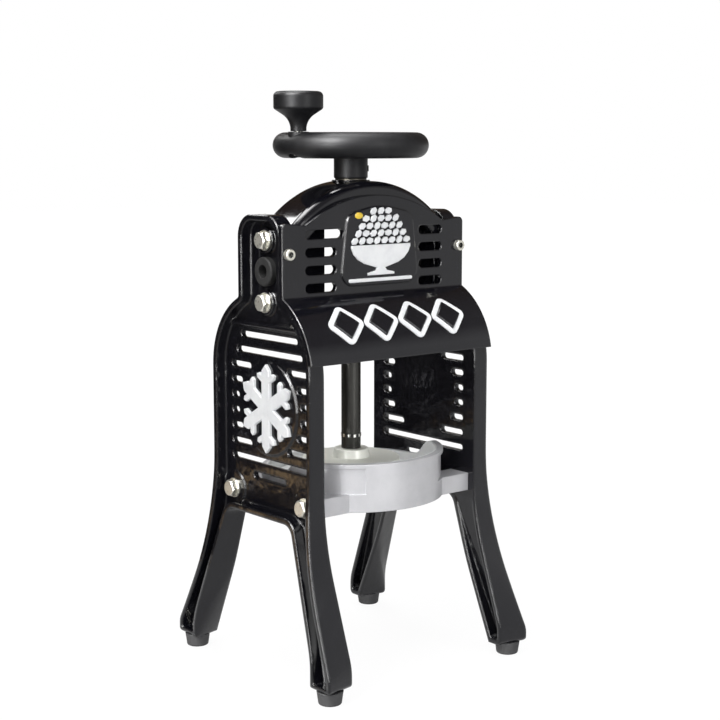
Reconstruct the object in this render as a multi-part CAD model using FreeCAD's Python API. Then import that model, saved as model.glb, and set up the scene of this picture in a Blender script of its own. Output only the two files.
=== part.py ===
import FreeCAD, Part
import math
import os
from FreeCAD import Vector as V

# Table-top ice shaver. Two cast side frames stand on rubber feet and carry an arched bridge, a front
# cover with a hood, and the blade table. A handwheel on the bridge turns a keyed screw spindle, which
# runs in a fixed nut and drives the ice presser down onto the table.
# Frame: origin on the ground under the spindle, +Z up, the front faces -Y. Millimetres and degrees.

# ---- side frames ----
frame_inner_x = 63.5        # inner face of each casting, from the spindle axis
frame_outer_x = frame_inner_x + 11.1    # outer face of column and panel
foot_outer_x = frame_outer_x + 9.6      # outer face at the foot, where the legs splay
splay_start_z = 130.7
splay_start_r = 250.0
foot_bend_z = 17.5
foot_bend_r = 40.0
web_thick = 3.6
rim_width = 3.6
leg_rim_width = 2.7         # the rims thin down towards the feet
web_bend_z = 104.0          # below this height the web leans out with the legs
web_bend_r = 60.0
web_lean = 9.4              # how far it has moved out at the sole
pocket_corner_r = 1.2
column_half = 22.3          # half depth of the upper column
column_top_z = 296.3
column_corner_r = 14.5
waist_z = 243.0             # where the shoulder meets the column
waist_r = 2.5
shoulder_drop = 16.0        # from the waist down to the corner of the shoulder
shoulder_r = 50.0
body_half = 52.2            # half depth of the panel and of the legs' tops
leg_bend_z = 83.3           # the legs' outer curve at the outer face
leg_bend_r = 184.0
foot_half = 83.2
ankle_z = 17.3
ankle_r = 14.0
leg_bend_z_inner = 97.9     # the same curve at the inner face
leg_bend_r_inner = 170.0
foot_half_inner = foot_half - 3.9
ankle_z_inner = 20.6
ankle_r_inner = 30.0
sole_z = 8.3                # underside of the cast sole
sole_corner_r = 3.5         # at the front and rear ends of the sole
sole_edge_r = 2.6           # along its outer edge
toe_half = foot_half - 19.4             # inner edge of each foot
toe_half_inner = foot_half - 14.8       # and at the inner face of the casting
arch_z = 103.9              # top of the opening between the legs
arch_half = 36.3            # half width of that opening in the plane of the feet's outer faces
arch_half_inner = 30.8      # and at the casting's inner face
arch_knee_z = 23.9
arch_knee_z_inner = 62.5
arch_knee_half_inner = 44.8
arch_corner_r = 9.0
arch_knee_r = 41.0
arch_knee_r_inner = 244.0

# ---- louvres and ornament plate in the frame web ----
slot_top_z = 218.3
slot_pitch = 10.15
slot_height = 4.2
slot_rows = 9
slot_half_first = 30.3
slot_half_second = 35.2
slot_half = 41.0
short_slot_half = 17.5
plate_r = 30.0
plate_z = 172.7
plate_rise = 1.2
ridge_z = 225.6             # rounded rib across the web above the louvres
ridge_r = 2.3

# ---- bolts through the frames ----
bolt_r = 3.0
bolt_clear = 0.3
bolt_head_flats = 10.0
bolt_head_high = 4.0
washer_r = 6.4
washer_thick = 1.0
upper_bolt_z = (280.2, 240.8)
upper_boss_r = 8.2
upper_boss_rise = 2.4
lower_bolt_y = 38.5
lower_bolt_z = 114.8
lower_boss_r = 11.6
lower_boss_rise = 1.0
bolt_grip = 16.0            # length of the bolt past the web's inner face
grommet_z = 260.5
grommet_r = 9.3
grommet_neck_r = 6.4
grommet_bore_r = 4.3
grommet_rise = 4.4

# ---- front cover and hood ----
cover_half = frame_outer_x + 0.8
cover_thick = 3.6
cover_gap = 0.3
cover_corner_r = 3.5
hood_bottom_z = 206.2
shoulder_top_z = 292.1
cover_arch_r = 100.0
cover_arch_z = 307.8
cover_arch_half = 57.0
louvre_top_z = 284.2
louvre_pitch = 11.2
louvre_height = 5.7
louvre_rows = 4
louvre_left = (-57.6, -33.0)
louvre_left_first = -27.2   # the top louvre on the left runs further in
louvre_right = (36.0, 56.5)
badge_half_low = 32.6       # raised plaque in the middle of the cover, narrower at its top
badge_half_high = 27.2
badge_x = 2.4
badge_z = (250.4, 301.8)
badge_crown = 6.0
badge_crown_r = 60.0
badge_rise = 1.3
badge_corner_r = 9.0
cover_screw_x = cover_half - 4.4
cover_screw_z = 272.6
cover_screw_r = 2.0
cover_screw_head_r = 3.5
cover_screw_head_high = 3.4
cover_screw_grip = 9.0

# ---- bridge ----
bridge_r = 86.0             # outer radius of the arched roof
bridge_top_z = 316.4
bridge_thick = 5.0
bridge_round = 5.5          # rounding of the roof's front edge
bridge_rear_y = 10.5
bridge_rear_round = 2.5
bridge_lip = 13.0           # depth of the rib behind the front cover
cheek_thick = 6.0
cheek_z = 230.8
cheek_front_y = -18.0
cheek_corner_r = 8.0
bolt_boss_deep = 3.5
rib_half = 3.0
rib_inner_x = 24.3
rib_z = 236.8
boss_r = 19.0
boss_z = 290.3
pad_z = 316.8
pad_r = 12.4

# ---- spindle drive ----
spindle_r = 6.5
spindle_top_z = 338.7
running_clear = 0.06
sleeve_r = 9.0
sleeve_z = (303.2, 340.7)
ring_z = 304.3
ring_thick = 1.2
ring_r = 11.4
ring_groove = 0.7
step_z = 305.8              # shoulder in the bridge boss above the retaining ring
nut_r = 12.9
nut_bore_seat = 13.0
nut_flange_r = 18.6
nut_flange_thick = 3.5
nut_high = 11.5
nut_screw_pcr = 15.9
nut_screw_r = 1.5
nut_screw_head_r = 2.6
nut_screw_head_high = 1.8
nut_screw_grip = 7.5
thrust_thick = 0.8
thrust_r = 10.3
key_half = 2.0
key_clear = 0.1
key_deep = 2.4              # depth of the keyway in the spindle
key_z = (320.8, 332.8)
keyway_z = 215.8
set_screw_angle = -36.0
set_screw_z = 324.2
set_screw_r = 2.0
set_screw_out = 11.6

# ---- handwheel and knob ----
wheel_r = 50.8
rim_r = 8.25                # radius of the round rim section
wheel_z = 339.2             # middle of the rim
hub_r = 11.1
hub_top_z = 343.7
web_z = (333.5, 340.1)
window_r = (17.5, 31.0)
window_span = 76.0
window_count = 3
window_corner_r = 4.0
knob_base_r = 6.6
knob_seat_z = 347.7
knob_clear = 0.25
knob_high = 25.0
knob_r = 15.8
knob_rim_high = 10.8        # from the top down to the corner of the rim
knob_neck_high = 7.2        # from the foot up to the corner under the head
knob_neck_r = 5.1
knob_edge_r = 3.2
knob_under_r = 11.0
pin_r = 3.0
pin_head_r = 4.9
pin_head_high = 2.4
pin_top_gap = 2.6
knob_nut_flats = 9.0
knob_nut_high = 4.0
nut_pocket_r = 6.3
nut_pocket_deep = 7.0

# ---- presser ----
presser_r = 32.7
presser_z = (128.6, 133.4)
presser_hub_r = 11.4
presser_hub_z = 139.2
spindle_foot_z = 130.2
tooth_r = 2.3
tooth_high = 4.4
tooth_ring_r = (12.0, 24.5)
tooth_counts = (6, 12)
clip_z = 148.0
clip_half = 1.0
clip_depth = 0.9
clip_proud = 0.35
presser_screw_r = 2.5
presser_screw_head_r = 4.2
presser_screw_grip = 12.0

# ---- blade table ----
table_r = frame_inner_x - 2.1           # proud front sector
table_wall_r = table_r - 1.4
table_inner_r = table_wall_r - 4.0
table_z = (109.1, 139.8)
table_low_z = 127.3         # lower wall at the back
table_lip = 2.6
sector_half = 30.0
fall_start = -22.0          # the wall falls between these angles from +X
fall_end = 5.0
floor_z = (114.8, 119.8)
lug_half = 8.5
lug_reach = 24.0            # how far each lug reaches in from the wall's inner side
lug_z = (109.1, 120.8)
lug_clear = 0.2
blade_x = (7.0, table_inner_r - 5.0)
blade_wide = 22.0
blade_thick = 2.0
blade_angle = 25.0
blade_bevel = 4.0
blade_proud = 0.4
mouth_wide = 7.5
bed_wide = 25.0
clamp_x = (blade_x[0] + 4.0, blade_x[1] - 4.0)
clamp_y = (-19.5, -8.5)
clamp_thick = 3.0
clamp_chamfer = 0.8
blade_screw_x = (blade_x[0] + 12.0, blade_x[1] - 12.0)
blade_screw_y = -14.0
blade_screw_r = 2.0
blade_screw_head_r = 3.6
blade_screw_head_high = 2.2
blade_screw_grip = 3.6

# ---- feet ----
foot_x = foot_outer_x - 8.1
foot_y = foot_half - 9.8
foot_top_r = 8.4
foot_bottom_r = 7.2
foot_edge_r = 1.2
foot_bore_r = 4.8
foot_bore_deep = 4.2
foot_screw_r = 2.0
foot_screw_head_r = 4.0
foot_screw_head_high = 2.2
foot_screw_top_z = sole_z + rim_width + 0.6

far = 400.0                 # length of a cutter that passes right through


# ---- drawing helpers ----
def unit(a, b):
    length = math.hypot(b[0] - a[0], b[1] - a[1])
    return ((b[0] - a[0]) / length, (b[1] - a[1]) / length)


def rounded(nodes, place):
    """Closed wire through corners (a, b, radius), each corner rounded by a tangent arc."""
    ends = []
    arcs = []
    count = len(nodes)
    for i in range(count):
        a, b, r = nodes[i]
        before = unit((a, b), nodes[i - 1])
        after = unit((a, b), nodes[(i + 1) % count])
        if r == 0:
            ends.append(((a, b), (a, b)))
            arcs.append(None)
            continue
        cosine = max(-1.0, min(1.0, before[0] * after[0] + before[1] * after[1]))
        half = math.acos(cosine) / 2
        reach = r / math.tan(half)
        middle = unit((0, 0), (before[0] + after[0], before[1] + after[1]))
        inset = r / math.sin(half) - r
        ends.append(((a + before[0] * reach, b + before[1] * reach),
                     (a + after[0] * reach, b + after[1] * reach)))
        arcs.append((a + middle[0] * inset, b + middle[1] * inset))
    edges = []
    for i in range(count):
        if arcs[i]:
            edges.append(Part.Arc(place(*ends[i][0]), place(*arcs[i]), place(*ends[i][1])).toShape())
        start = place(*ends[i][1])
        stop = place(*ends[(i + 1) % count][0])
        if start.distanceToPoint(stop) > 1e-6:
            edges.append(Part.LineSegment(start, stop).toShape())
    return Part.Wire(edges)


def inset(nodes, depth, least=0.0):
    """The same corners moved inwards by depth (outwards if it is negative); the rounding follows.

    The corners run anticlockwise. Outward corners keep a radius of at least the given one.
    """
    moved = []
    for i, (a, b, r) in enumerate(nodes):
        before = unit(nodes[i - 1], (a, b))
        after = unit((a, b), nodes[(i + 1) % len(nodes)])
        reach = depth / (1 + before[0] * after[0] + before[1] * after[1])
        outward = before[0] * after[1] - before[1] * after[0] > 0
        moved.append((a - (before[1] + after[1]) * reach, b + (before[0] + after[0]) * reach,
                      max(r - depth, least) if outward else max(r + depth, 0)))
    return moved


def side_wire(nodes, x=0.0):
    return rounded(nodes, lambda y, z: V(x, y, z))


def side_face(nodes, x=0.0):
    return Part.Face(side_wire(nodes, x))


def front_face(nodes, y=0.0):
    return Part.Face(rounded(nodes, lambda x, z: V(x, y, z)))


def top_face(nodes, z=0.0):
    return Part.Face(rounded(nodes, lambda x, y: V(x, y, z)))


def block(x, y, z):
    """Box between two limits on each axis."""
    return Part.makeBox(x[1] - x[0], y[1] - y[0], z[1] - z[0], V(x[0], y[0], z[0]))


def rod(r, z0, z1, x=0.0, y=0.0):
    return Part.makeCylinder(r, z1 - z0, V(x, y, z0), V(0, 0, 1))


def cross_rod(r, x0, x1, y, z):
    return Part.makeCylinder(r, x1 - x0, V(x0, y, z), V(1, 0, 0))


def hexagon(flats, high, centre, axis, turn=0.0):
    """Hexagonal prism that starts at centre and rises along axis."""
    r = flats / math.sqrt(3)
    corners = [V(r * math.cos(math.radians(60 * i + turn)), r * math.sin(math.radians(60 * i + turn)), 0)
               for i in range(6)]
    prism = Part.Face(Part.makePolygon(corners + [corners[0]])).extrude(V(0, 0, high))
    prism.Placement = FreeCAD.Placement(centre, FreeCAD.Rotation(V(0, 0, 1), axis))
    return prism


def mirror_x(shape):
    return shape.mirror(V(0, 0, 0), V(1, 0, 0))


def spread(shape, signs):
    """Copies of a shape at mirrored places, from the one at +X, +Y."""
    out = []
    for sx, sy in signs:
        copy = shape
        if sx < 0:
            copy = copy.mirror(V(0, 0, 0), V(1, 0, 0))
        if sy < 0:
            copy = copy.mirror(V(0, 0, 0), V(0, 1, 0))
        out.append(copy)
    return out


def fuse(shapes):
    return shapes[0].multiFuse(shapes[1:]).removeSplitter()


def ring_of(shape, count, start=0.0):
    turned = []
    for i in range(count):
        copy = shape.copy()
        copy.rotate(V(0, 0, 0), V(0, 0, 1), start + 360.0 * i / count)
        turned.append(copy)
    return turned


corners_all = ((1, 1), (1, -1), (-1, 1), (-1, -1))
sides = ((1, 1), (-1, 1))


# ---- side frames: modelled on the +X side ----
def frame_half_nodes(foot=(foot_half, ankle_z, ankle_r), bend=(leg_bend_z, leg_bend_r)):
    """Right half of the casting's side outline, from the sole up to the column top."""
    return [(foot[0], sole_z, sole_corner_r),
            foot,
            (body_half, *bend),
            (body_half, waist_z - shoulder_drop, shoulder_r),
            (column_half, waist_z, waist_r),
            (column_half, column_top_z, column_corner_r)]


def mirrored(nodes):
    return nodes + [(-a, b, r) for a, b, r in reversed(nodes)]


def pocket_outline(legs, frame):
    """Edge of the recess, one rim's width in from the outline; the rims thin down below the legs' bend."""
    nodes = mirrored(legs + frame)
    wide = inset(nodes, rim_width, pocket_corner_r)
    thin = inset(nodes, leg_rim_width, pocket_corner_r)
    low = leg_bend_z - 5.0
    return [(t[0], max(t[1], sole_z + rim_width), t[2]) if n[1] < low else w
            for n, w, t in zip(nodes, wide, thin)]


outer_frame = frame_half_nodes()
inner_frame = frame_half_nodes((foot_half_inner, ankle_z_inner, ankle_r_inner), (leg_bend_z_inner, leg_bend_r_inner))
outer_arch = [(arch_half, arch_z, arch_corner_r),
              (toe_half, arch_knee_z, arch_knee_r),
              (toe_half, sole_z, 0)]
inner_arch = [(arch_half_inner, arch_z, arch_corner_r),
              (arch_knee_half_inner, arch_knee_z_inner, arch_knee_r_inner),
              (toe_half_inner, sole_z, 0)]


def between_faces(inner, outer):
    """Solid whose outline changes evenly from the casting's inner face to its outer one."""
    return Part.makeLoft([side_wire(inner, frame_inner_x), side_wire(outer, foot_outer_x)], True, True)


def arch_tool():
    """Cutter for the opening between the legs, narrower at the inner face."""
    below = 4.0

    def section(arch):
        top, knee, toe = arch
        low = toe[0] + below * (toe[0] - knee[0]) / (knee[1] - sole_z)
        return mirrored([top, knee, (low, sole_z - below, 0)])

    return between_faces(section(inner_arch), section(outer_arch))


def recesses():
    """Cutters on both sides of the web, which leans out below its bend and leaves a recess behind it."""
    deep = between_faces(pocket_outline(inner_arch, inner_frame), pocket_outline(outer_arch, outer_frame))
    web_x = frame_inner_x + web_thick
    low_x = web_x + web_lean * web_bend_z / (web_bend_z - sole_z)
    web = front_face([(frame_inner_x - 1, 0, 0), (low_x, 0, 0), (web_x, web_bend_z, web_bend_r),
                      (web_x, column_top_z, 0), (frame_inner_x - 1, column_top_z, 0)],
                     -foot_half).extrude(V(0, 2 * foot_half, 0))
    behind = front_face([(frame_inner_x, 0, 0), (low_x - web_thick, 0, 0), (frame_inner_x, web_bend_z, 0)],
                        -foot_half).extrude(V(0, 2 * foot_half, 0))
    return deep.cut(web), deep.common(behind)


def slot(half, z):
    """Louvre with round ends through the web."""
    r = slot_height / 2
    nodes = [(-half, z - r, r * 0.99), (half, z - r, r * 0.99), (half, z + r, r * 0.99), (-half, z + r, r * 0.99)]
    return side_face(nodes, frame_inner_x - 1).extrude(V(web_thick + 3, 0, 0))


def build_frame():
    web_x = frame_inner_x + web_thick
    splay = front_face([(frame_inner_x, sole_z, 0), (foot_outer_x, sole_z, sole_edge_r),
                        (foot_outer_x, foot_bend_z, foot_bend_r), (frame_outer_x, splay_start_z, splay_start_r),
                        (frame_outer_x, column_top_z + 1, 0), (frame_inner_x, column_top_z + 1, 0)],
                       -foot_half - 1).extrude(V(0, 2 * foot_half + 2, 0))
    body = between_faces(mirrored(inner_frame), mirrored(outer_frame)).common(splay)
    ridge = Part.makeCylinder(ridge_r, 2 * body_half, V(web_x, -body_half, ridge_z), V(0, 1, 0)).common(body)
    for tool in (arch_tool(), *recesses()):
        body = body.cut(tool)
    added = [cross_rod(upper_boss_r, frame_inner_x, web_x + upper_boss_rise, 0, z) for z in upper_bolt_z]
    added += [cross_rod(lower_boss_r, frame_inner_x, web_x + lower_boss_rise, s * lower_bolt_y, lower_bolt_z)
              for s in (1, -1)]
    plate = Part.makeCone(plate_r + plate_rise / 2, plate_r, plate_rise, V(web_x, 0, plate_z), V(1, 0, 0))
    added += [plate, ridge]
    body = fuse([body] + added)
    cuts = []
    for row in range(slot_rows):
        z = slot_top_z - row * slot_pitch
        half = {0: slot_half_first, 1: slot_half_second}.get(row, slot_half)
        chord = plate_r ** 2 - (abs(z - plate_z) + slot_height / 2) ** 2
        if chord <= 0:
            cuts.append(slot(half, z))
            continue
        keep = math.sqrt(plate_r ** 2 - (z - plate_z) ** 2) + plate_rise + slot_height / 2
        for s in (1, -1):
            piece = slot((half - keep) / 2, z)
            piece.translate(V(0, s * (half + keep) / 2, 0))
            cuts.append(piece)
    cuts.append(slot(short_slot_half, slot_top_z - slot_rows * slot_pitch))
    cuts += [cross_rod(bolt_r + bolt_clear, 0, foot_outer_x, 0, z) for z in upper_bolt_z]
    cuts += [cross_rod(bolt_r + bolt_clear, 0, foot_outer_x, s * lower_bolt_y, lower_bolt_z) for s in (1, -1)]
    cuts.append(cross_rod(grommet_neck_r, 0, foot_outer_x, 0, grommet_z))
    cuts.append(Part.makeCylinder(cover_screw_r, 2 * rim_width, V(cover_screw_x, -column_half, cover_screw_z),
                                  V(0, 1, 0)))
    cuts += [rod(foot_screw_r, 0, foot_screw_top_z, foot_x, s * foot_y) for s in (1, -1)]
    return body.cut(cuts[0].multiFuse(cuts[1:]))


def build_grommets():
    web_x = frame_inner_x + web_thick
    flange = cross_rod(grommet_r, web_x, web_x + grommet_rise, 0, grommet_z)
    flange = flange.makeFillet(1.2, [e for e in flange.Edges if abs(e.BoundBox.XMin - web_x - grommet_rise) < 1e-6])
    neck = cross_rod(grommet_neck_r, frame_inner_x, web_x, 0, grommet_z)
    bore = cross_rod(grommet_bore_r, 0, foot_outer_x, 0, grommet_z)
    return Part.makeCompound(spread(fuse([flange, neck]).cut(bore), sides))


def side_bolt(seat_x, y, z):
    """Hexagon bolt with a chamfered head, its washer under the head, pointing to the spindle axis."""
    head_x = seat_x + washer_thick
    head = hexagon(bolt_head_flats, bolt_head_high, V(head_x, y, z), V(1, 0, 0), 30)
    crown = Part.makeCone(bolt_head_flats * 0.66, bolt_head_flats * 0.46, bolt_head_high * 0.5,
                          V(head_x + bolt_head_high * 0.5, y, z), V(1, 0, 0))
    lower = cross_rod(bolt_head_flats * 0.66, head_x, head_x + bolt_head_high * 0.5, y, z)
    head = head.common(fuse([crown, lower]))
    shank = cross_rod(bolt_r, frame_inner_x - bolt_grip, head_x, y, z)
    ring = cross_rod(washer_r, seat_x, head_x, y, z).cut(cross_rod(bolt_r + bolt_clear, 0, foot_outer_x, y, z))
    return fuse([head, shank]), ring


def build_side_bolts():
    web_x = frame_inner_x + web_thick
    bolts = {"upper": [], "lower": []}
    washers = {"upper": [], "lower": []}
    seats = [("upper", web_x + upper_boss_rise, 0.0, z) for z in upper_bolt_z]
    seats += [("lower", web_x + lower_boss_rise, s * lower_bolt_y, lower_bolt_z) for s in (1, -1)]
    for name, x, y, z in seats:
        bolt, ring = side_bolt(x, y, z)
        bolts[name] += spread(bolt, sides)
        washers[name] += spread(ring, sides)
    return bolts, washers


# ---- front cover ----
def build_cover():
    outline = mirrored(frame_half_nodes())
    gap_face = side_face(inset(outline, -cover_gap))
    skin_face = side_face(inset(outline, -cover_gap - cover_thick))
    profile = skin_face.cut(gap_face)
    front_y = -(column_half + cover_gap + cover_thick)
    back_y = -(column_half + cover_gap)
    sheet = profile.extrude(V(2 * cover_half, 0, 0))
    sheet.translate(V(-cover_half, 0, 0))
    keep = block((-cover_half, cover_half), (-2 * foot_half, back_y + 0.01), (hood_bottom_z, cover_arch_z + 1))
    sheet = sheet.common(keep)
    spring_z = cover_arch_z - cover_arch_r + math.sqrt(cover_arch_r ** 2 - cover_arch_half ** 2)
    arch = Part.Arc(V(-cover_arch_half, 0, spring_z), V(0, 0, cover_arch_z),
                    V(cover_arch_half, 0, spring_z)).toShape()
    low_z = waist_z + 6
    corners = [V(cover_arch_half, 0, spring_z), V(cover_half, 0, shoulder_top_z), V(cover_half, 0, low_z),
               V(-cover_half, 0, low_z), V(-cover_half, 0, shoulder_top_z), V(-cover_arch_half, 0, spring_z)]
    lines = [Part.LineSegment(corners[i], corners[i + 1]).toShape() for i in range(len(corners) - 1)]
    panel = Part.Face(Part.Wire([arch] + lines)).extrude(V(0, cover_thick, 0))
    panel = panel.makeFillet(cover_corner_r, [e for e in panel.Edges if abs(abs(e.CenterOfMass.x) - cover_half) < 1e-6
                                              and e.BoundBox.ZMin > shoulder_top_z - 1e-6])
    panel.translate(V(0, front_y, 0))
    hood = sheet.cut(block((-foot_outer_x, foot_outer_x), (-foot_half, 0), (low_z, cover_arch_z + 9)))
    crown_z = badge_z[1] - badge_crown
    badge = front_face([(badge_x - badge_half_low, badge_z[0], badge_corner_r),
                        (badge_x + badge_half_low, badge_z[0], badge_corner_r),
                        (badge_x + badge_half_high, crown_z, badge_corner_r),
                        (badge_x, badge_z[1], badge_crown_r),
                        (badge_x - badge_half_high, crown_z, badge_corner_r)], front_y - badge_rise)
    badge = badge.extrude(V(0, badge_rise + cover_thick / 2, 0))
    cover = fuse([panel, hood, badge])
    cuts = []
    r = louvre_height / 2
    for row in range(louvre_rows):
        z = louvre_top_z - row * louvre_pitch
        left = (louvre_left[0], louvre_left_first if row == 0 else louvre_left[1])
        for x0, x1 in (left, louvre_right):
            nodes = [(x0, z - r, r * 0.99), (x1, z - r, r * 0.99), (x1, z + r, r * 0.99), (x0, z + r, r * 0.99)]
            cuts.append(front_face(nodes, front_y - 1).extrude(V(0, cover_thick + 2, 0)))
    for s in (1, -1):
        cuts.append(Part.makeCylinder(cover_screw_r + bolt_clear, cover_thick + 2,
                                      V(s * cover_screw_x, front_y - 1, cover_screw_z), V(0, 1, 0)))
    return cover.cut(cuts[0].multiFuse(cuts[1:]))


def build_cover_screws():
    front_y = -(column_half + cover_gap + cover_thick)
    back = V(0, 1, 0)
    head = Part.makeCylinder(cover_screw_head_r, cover_screw_head_high,
                             V(cover_screw_x, front_y - cover_screw_head_high, cover_screw_z), back)
    head = head.makeFillet(0.5, [e for e in head.Edges if abs(e.BoundBox.YMax - front_y + cover_screw_head_high) < 1e-6])
    shank = Part.makeCylinder(cover_screw_r, cover_screw_grip, V(cover_screw_x, front_y, cover_screw_z), back)
    socket = hexagon(cover_screw_head_r * 0.9, cover_screw_head_high * 0.6,
                     V(cover_screw_x, front_y - cover_screw_head_high, cover_screw_z), back)
    return Part.makeCompound(spread(fuse([head, shank]).cut(socket), sides))


# ---- bridge ----
def build_bridge():
    axis_z = bridge_top_z - bridge_r
    front_y = -column_half
    section = Part.Face(rounded([(front_y, bridge_r - bridge_lip, 0),
                                 (front_y, bridge_r, bridge_round),
                                 (bridge_rear_y, bridge_r, bridge_rear_round),
                                 (bridge_rear_y, bridge_r - bridge_thick, 0),
                                 (front_y + bridge_thick, bridge_r - bridge_thick, 0),
                                 (front_y + bridge_thick, bridge_r - bridge_lip, 0)],
                                lambda y, r: V(0, y, axis_z + r)))
    span = 2 * math.degrees(math.asin((frame_inner_x + 3) / bridge_r))
    section.rotate(V(0, 0, axis_z), V(0, 1, 0), -span / 2)
    roof = section.revolve(V(0, 0, axis_z), V(0, 1, 0), span)
    inside = block((-frame_inner_x, frame_inner_x), (front_y - 1, bridge_rear_y + 1), (cheek_z, pad_z + 1))
    roof = roof.common(inside)
    under = Part.makeCylinder(bridge_r - bridge_thick / 2, bridge_rear_y - front_y, V(0, front_y, axis_z), V(0, 1, 0))
    cheek_x = frame_inner_x - cheek_thick
    cheek = side_face([(cheek_front_y, cheek_z, cheek_corner_r), (bridge_rear_y, cheek_z, cheek_corner_r),
                       (bridge_rear_y, bridge_top_z, 0), (cheek_front_y, bridge_top_z, 0)], cheek_x)
    parts = [cheek.extrude(V(cheek_thick, 0, 0)).common(under)]
    parts += [cross_rod(upper_boss_r, cheek_x - bolt_boss_deep, cheek_x + 1, 0, z) for z in upper_bolt_z]
    rib = block((rib_inner_x, cheek_x + 1), (-rib_half, rib_half), (rib_z, bridge_top_z))
    parts.append(rib.common(under))
    boss = rod(boss_r, boss_z, bridge_top_z - bridge_thick / 2)
    pad = rod(pad_r, bridge_top_z - bridge_thick, pad_z)
    bridge = fuse([roof, boss, pad] + parts + [mirror_x(p) for p in parts])
    cuts = [rod(sleeve_r + running_clear, step_z - 1, pad_z + 1), rod(nut_bore_seat, boss_z - 1, step_z)]
    for z in upper_bolt_z:
        cuts.append(cross_rod(bolt_r, -frame_inner_x - 1, -frame_inner_x + bolt_grip, 0, z))
        cuts.append(cross_rod(bolt_r, frame_inner_x - bolt_grip, frame_inner_x + 1, 0, z))
    cuts += [cross_rod(grommet_bore_r, -frame_inner_x - 1, frame_inner_x + 1, 0, grommet_z).cut(
        cross_rod(grommet_bore_r + 1, -cheek_x + 2, cheek_x - 2, 0, grommet_z))]
    cuts += ring_of(rod(nut_screw_r, boss_z - 1, boss_z + nut_screw_grip - nut_flange_thick, nut_screw_pcr, 0), 3, 90)
    return bridge.cut(cuts[0].multiFuse(cuts[1:]))


def build_feed_nut():
    flange_z = boss_z - nut_flange_thick
    nut = fuse([rod(nut_flange_r, flange_z, boss_z), rod(nut_r, boss_z, boss_z + nut_high)])
    holes = ring_of(rod(nut_screw_r + 0.1, flange_z - 1, boss_z + 1, nut_screw_pcr, 0), 3, 90)
    return nut.cut(rod(spindle_r + running_clear, 0, pad_z).multiFuse(holes))


def build_nut_screws():
    flange_z = boss_z - nut_flange_thick
    screw = fuse([rod(nut_screw_r, flange_z, flange_z + nut_screw_grip, nut_screw_pcr, 0),
                  rod(nut_screw_head_r, flange_z - nut_screw_head_high, flange_z, nut_screw_pcr, 0)])
    drive = block((nut_screw_pcr - 0.4, nut_screw_pcr + 0.4), (-nut_screw_head_r, nut_screw_head_r),
                  (flange_z - nut_screw_head_high - 1, flange_z - nut_screw_head_high * 0.5))
    return Part.makeCompound(ring_of(screw.cut(drive), 3, 90))


# ---- handwheel, sleeve and knob ----
def build_sleeve():
    body = rod(sleeve_r, *sleeve_z).cut(rod(spindle_r + running_clear, 0, far))
    groove = rod(sleeve_r + 1, ring_z, ring_z + ring_thick).cut(rod(sleeve_r - ring_groove, 0, far))
    key_slot = block((-key_half, key_half), (spindle_r - 1, sleeve_r), key_z)
    return body.cut(groove.fuse(key_slot))


def build_retaining_ring():
    ring = rod(ring_r, ring_z, ring_z + ring_thick).cut(rod(sleeve_r - ring_groove, 0, far))
    return ring.cut(block((-1.6, 1.6), (-ring_r - 1, 0), (ring_z - 1, ring_z + ring_thick + 1)))


def build_key():
    return block((-key_half, key_half), (spindle_r - key_deep + key_clear, sleeve_r - 0.3), key_z)


def build_handwheel():
    hub_z = pad_z + thrust_thick
    rim = Part.makeTorus(wheel_r - rim_r, rim_r, V(0, 0, wheel_z), V(0, 0, 1))
    web = rod(wheel_r - rim_r, *web_z)
    window = []
    inner, outer = window_r
    half = math.radians(window_span / 2)
    inner_half = half * 0.86
    arcs = [Part.Arc(V(outer * math.cos(half), -outer * math.sin(half), 0), V(outer, 0, 0),
                     V(outer * math.cos(half), outer * math.sin(half), 0)).toShape(),
            Part.Arc(V(inner * math.cos(inner_half), inner * math.sin(inner_half), 0), V(inner, 0, 0),
                     V(inner * math.cos(inner_half), -inner * math.sin(inner_half), 0)).toShape()]
    ends = [Part.LineSegment(arcs[0].lastVertex().Point, arcs[1].firstVertex().Point).toShape(),
            Part.LineSegment(arcs[1].lastVertex().Point, arcs[0].firstVertex().Point).toShape()]
    kidney = Part.Face(Part.Wire([arcs[0], ends[0], arcs[1], ends[1]])).extrude(V(0, 0, 4 * rim_r))
    kidney = kidney.makeFillet(window_corner_r, [e for e in kidney.Edges if e.BoundBox.ZLength > 3 * rim_r])
    kidney.translate(V(0, 0, wheel_z - 2 * rim_r))
    window = ring_of(kidney, window_count, 0)
    hub = rod(hub_r, hub_z, hub_top_z)
    hub = hub.makeChamfer(0.9, [e for e in hub.Edges if e.BoundBox.ZLength < 1e-6])
    seat_x = -(wheel_r - rim_r)
    seat = rod(knob_base_r, wheel_z, knob_seat_z, seat_x, 0)
    wheel = fuse([web.cut(window[0].multiFuse(window[1:])), rim, hub, seat])
    screw_hole = Part.makeCylinder(set_screw_r, hub_r + 2, V(0, 0, set_screw_z), V(1, 0, 0))
    screw_hole.rotate(V(0, 0, 0), V(0, 0, 1), set_screw_angle)
    low_z = wheel_z - rim_r
    cuts = [rod(sleeve_r, 0, far), screw_hole, rod(pin_r, low_z - 1, far, seat_x, 0),
            rod(nut_pocket_r, low_z - 1, low_z + nut_pocket_deep, seat_x, 0)]
    return wheel.cut(cuts[0].multiFuse(cuts[1:]))


def build_set_screw():
    screw = Part.makeCylinder(set_screw_r, set_screw_out - sleeve_r, V(sleeve_r, 0, set_screw_z), V(1, 0, 0))
    socket = hexagon(2.0, 1.4, V(set_screw_out, 0, set_screw_z), V(-1, 0, 0))
    screw = screw.cut(socket)
    screw.rotate(V(0, 0, 0), V(0, 0, 1), set_screw_angle)
    return screw


def build_thrust_washer():
    return rod(thrust_r, pad_z, pad_z + thrust_thick).cut(rod(sleeve_r + running_clear, 0, far))


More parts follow.
